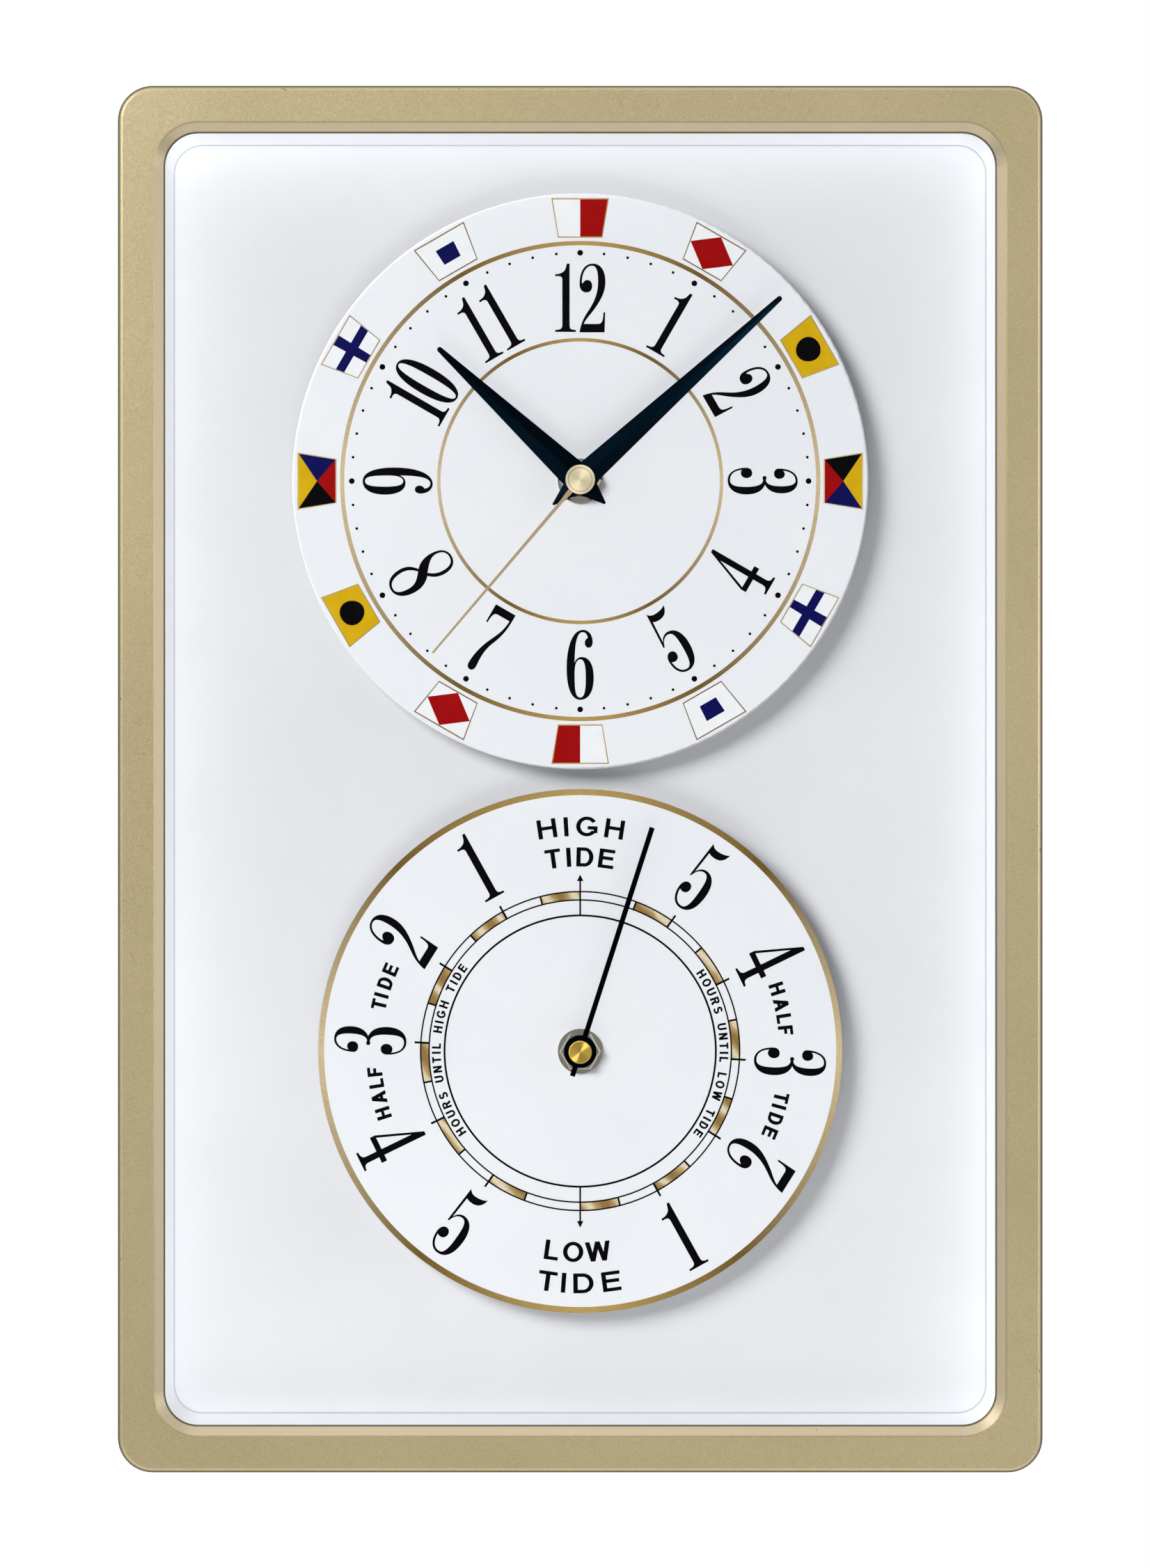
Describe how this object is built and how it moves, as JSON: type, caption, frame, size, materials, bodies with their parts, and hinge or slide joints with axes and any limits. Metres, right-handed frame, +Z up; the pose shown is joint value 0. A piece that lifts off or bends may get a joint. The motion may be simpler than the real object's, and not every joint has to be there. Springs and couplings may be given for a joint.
{
  "type": "tide clock",
  "caption": "Upright glazed wall clock with a clock dial above a tide dial, hands driven by quartz movements, hung from a keyhole plate on its back.",
  "frame": {"origin": "middle of the case's back rim, on the wall plane", "axes": "+Z up, front faces -Y, +X to the viewer's right; +Y points into the wall"},
  "size_m": [0.2794, 0.0462, 0.419],
  "materials": {
    "gold_paint": "champagne gold metallic lacquer over moulded plastic, satin",
    "clear_glass": "clear float glass",
    "white_plastic": "white moulded plastic, satin",
    "white_dial": "white satin dial, printed in black, gold and flag colours",
    "black_metal": "black lacquer on stamped aluminium",
    "gold_metal": "gold anodised, radially brushed disc",
    "brass": "turned brass, radially brushed top",
    "nickel": "nickel plated",
    "steel": "zinc plated",
    "black_plastic": "black moulded plastic, fine grain",
    "gear_plastic": "natural acetal",
    "rubber": "black rubber",
    "copper": "enamelled copper winding",
    "board": "phenolic circuit board",
    "battery_jacket": "printed cell jacket, plain",
    "magnet": "sintered magnet"
  },
  "bodies": {
    "case": {"bezel_frame": "gold_paint", "front_glass": "clear_glass", "dial_tray": "white_plastic", "tray_screws": "steel", "hanger_plate": "steel", "hanger_screws": "steel", "clock_dial": "white_dial", "tide_dial": "white_dial", "clock_dial_spacer": "white_plastic", "tide_dial_spacer": "white_plastic", "clock_movement_case": "black_plastic", "clock_movement_cover": "black_plastic", "clock_washer": "rubber", "clock_hex_nut": "nickel", "clock_circuit_board": "board", "clock_quartz_crystal": "nickel", "clock_coil": "copper", "clock_stator": "steel", "clock_battery": "battery_jacket", "clock_battery_contacts": "nickel", "tide_movement_case": "black_plastic", "tide_movement_cover": "black_plastic", "tide_washer": "rubber", "tide_hex_nut": "nickel", "tide_circuit_board": "board", "tide_quartz_crystal": "nickel", "tide_coil": "copper", "tide_stator": "steel", "tide_battery": "battery_jacket", "tide_battery_contacts": "nickel"},
    "clock_rotor_group": {"clock_rotor": "magnet"},
    "clock_intermediate_group": {"clock_intermediate_wheel": "gear_plastic"},
    "clock_seconds_group": {"clock_second_wheel": "gear_plastic", "second_hand": "gold_metal"},
    "clock_third_group": {"clock_third_wheel": "gear_plastic"},
    "clock_center_group": {"clock_center_wheel": "gear_plastic"},
    "clock_minutes_group": {"clock_minute_pipe": "gear_plastic", "minute_hand": "black_metal"},
    "clock_minute_wheel_group": {"clock_minute_wheel": "gear_plastic"},
    "clock_hours_group": {"clock_hour_wheel": "gear_plastic", "hour_hand": "black_metal"},
    "clock_knob_group": {"clock_setting_knob": "black_plastic"},
    "tide_rotor_group": {"tide_rotor": "magnet"},
    "tide_intermediate_group": {"tide_intermediate_wheel": "gear_plastic"},
    "tide_seconds_group": {"tide_second_wheel": "gear_plastic"},
    "tide_third_group": {"tide_third_wheel": "gear_plastic"},
    "tide_center_group": {"tide_center_wheel": "gear_plastic"},
    "tide_minutes_group": {"tide_minute_pipe": "gear_plastic"},
    "tide_minute_wheel_group": {"tide_minute_wheel": "gear_plastic"},
    "tide_hours_group": {"tide_hour_wheel": "gear_plastic", "tide_hand": "black_metal", "tide_hand_cap": "brass"},
    "tide_knob_group": {"tide_setting_knob": "black_plastic"}
  },
  "joints": [
    {"name": "clock_rotor_turn", "type": "hinge", "parent": "case", "child": "clock_rotor_group", "pos_m": [0.0154, 0, 0.08875], "axis": [0, 1, 0], "continuous": true},
    {"name": "clock_intermediate_turn", "type": "hinge", "parent": "case", "child": "clock_intermediate_group", "pos_m": [0.0084, 0, 0.08875], "axis": [0, 1, 0], "continuous": true},
    {"name": "clock_seconds_turn", "type": "hinge", "parent": "case", "child": "clock_seconds_group", "pos_m": [0, 0, 0.091], "axis": [0, 1, 0], "continuous": true},
    {"name": "clock_third_turn", "type": "hinge", "parent": "case", "child": "clock_third_group", "pos_m": [0.00425, 0, 0.09836], "axis": [0, 1, 0], "continuous": true},
    {"name": "clock_center_turn", "type": "hinge", "parent": "case", "child": "clock_center_group", "pos_m": [0, 0, 0.091], "axis": [0, 1, 0], "continuous": true},
    {"name": "clock_minutes_turn", "type": "hinge", "parent": "case", "child": "clock_minutes_group", "pos_m": [0, 0, 0.091], "axis": [0, 1, 0], "continuous": true},
    {"name": "clock_minute_wheel_turn", "type": "hinge", "parent": "case", "child": "clock_minute_wheel_group", "pos_m": [-0.00779, 0, 0.0955], "axis": [0, 1, 0], "continuous": true},
    {"name": "clock_hours_turn", "type": "hinge", "parent": "case", "child": "clock_hours_group", "pos_m": [0, 0, 0.091], "axis": [0, 1, 0], "continuous": true},
    {"name": "clock_knob_turn", "type": "hinge", "parent": "case", "child": "clock_knob_group", "pos_m": [-0.0152, 0, 0.09978], "axis": [0, 1, 0], "continuous": true},
    {"name": "tide_rotor_turn", "type": "hinge", "parent": "case", "child": "tide_rotor_group", "pos_m": [0.0154, 0, -0.08525], "axis": [0, 1, 0], "continuous": true},
    {"name": "tide_intermediate_turn", "type": "hinge", "parent": "case", "child": "tide_intermediate_group", "pos_m": [0.0084, 0, -0.08525], "axis": [0, 1, 0], "continuous": true},
    {"name": "tide_seconds_turn", "type": "hinge", "parent": "case", "child": "tide_seconds_group", "pos_m": [0, 0, -0.083], "axis": [0, 1, 0], "continuous": true},
    {"name": "tide_third_turn", "type": "hinge", "parent": "case", "child": "tide_third_group", "pos_m": [0.00425, 0, -0.07564], "axis": [0, 1, 0], "continuous": true},
    {"name": "tide_center_turn", "type": "hinge", "parent": "case", "child": "tide_center_group", "pos_m": [0, 0, -0.083], "axis": [0, 1, 0], "continuous": true},
    {"name": "tide_minutes_turn", "type": "hinge", "parent": "case", "child": "tide_minutes_group", "pos_m": [0, 0, -0.083], "axis": [0, 1, 0], "continuous": true},
    {"name": "tide_minute_wheel_turn", "type": "hinge", "parent": "case", "child": "tide_minute_wheel_group", "pos_m": [-0.00779, 0, -0.0785], "axis": [0, 1, 0], "continuous": true},
    {"name": "tide_hours_turn", "type": "hinge", "parent": "case", "child": "tide_hours_group", "pos_m": [0, 0, -0.083], "axis": [0, 1, 0], "continuous": true},
    {"name": "tide_knob_turn", "type": "hinge", "parent": "case", "child": "tide_knob_group", "pos_m": [-0.01574, 0, -0.07391], "axis": [0, 1, 0], "continuous": true}
  ],
  "couplings": [
    {"joint": "clock_rotor_turn", "follows": "clock_seconds_turn", "ratio": 30},
    {"joint": "clock_intermediate_turn", "follows": "clock_seconds_turn", "ratio": -5},
    {"joint": "clock_third_turn", "follows": "clock_seconds_turn", "ratio": -0.13333},
    {"joint": "clock_center_turn", "follows": "clock_seconds_turn", "ratio": 0.016667},
    {"joint": "clock_minute_wheel_turn", "follows": "clock_minutes_turn", "ratio": -0.33333},
    {"joint": "clock_hours_turn", "follows": "clock_minutes_turn", "ratio": 0.083333},
    {"joint": "clock_knob_turn", "follows": "clock_minutes_turn", "ratio": 1.25},
    {"joint": "tide_rotor_turn", "follows": "tide_seconds_turn", "ratio": 30},
    {"joint": "tide_intermediate_turn", "follows": "tide_seconds_turn", "ratio": -5},
    {"joint": "tide_third_turn", "follows": "tide_seconds_turn", "ratio": -0.13333},
    {"joint": "tide_center_turn", "follows": "tide_seconds_turn", "ratio": 0.016667},
    {"joint": "tide_minute_wheel_turn", "follows": "tide_hours_turn", "ratio": -3.3333},
    {"joint": "tide_minutes_turn", "follows": "tide_hours_turn", "ratio": 12.424},
    {"joint": "tide_knob_turn", "follows": "tide_hours_turn", "ratio": 11.389}
  ]
}
